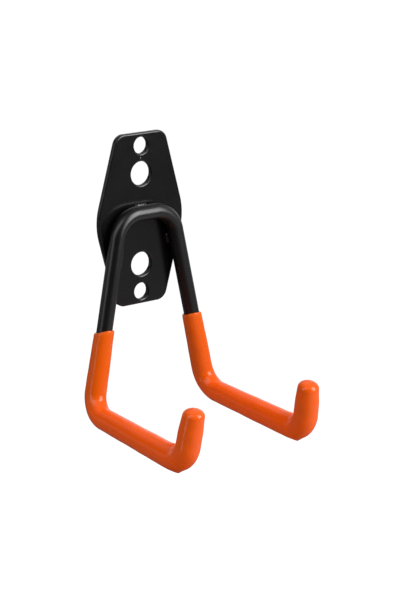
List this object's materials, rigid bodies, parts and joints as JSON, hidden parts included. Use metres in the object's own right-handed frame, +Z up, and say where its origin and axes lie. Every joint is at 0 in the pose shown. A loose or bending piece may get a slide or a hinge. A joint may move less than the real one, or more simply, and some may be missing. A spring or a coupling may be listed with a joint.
{
  "type": "double hook",
  "caption": "Double wall hook: bent steel rod with two coated J-shaped arms, welded to a drilled steel wall plate.",
  "frame": {"origin": "middle of the wall plate's back face, which lies on the wall", "axes": "+Z up, +Y into the wall, +X to the right seen from the front; the hooks reach out along -Y"},
  "size_m": [0.0862, 0.097, 0.1472],
  "materials": {
    "wall_plate": "satin black powder coat on sheet steel",
    "hook_rod": "satin black powder coat on round steel rod",
    "weld": "weld bead under the black powder coat",
    "sleeve": "soft orange dipped PVC coat, glossy"
  },
  "bodies": {
    "root": {"wall_plate": "wall_plate", "hook_rod": "hook_rod", "crown_weld": "weld", "left_leg_weld": "weld", "right_leg_weld": "weld", "left_sleeve": "sleeve", "right_sleeve": "sleeve"}
  },
  "joints": []
}
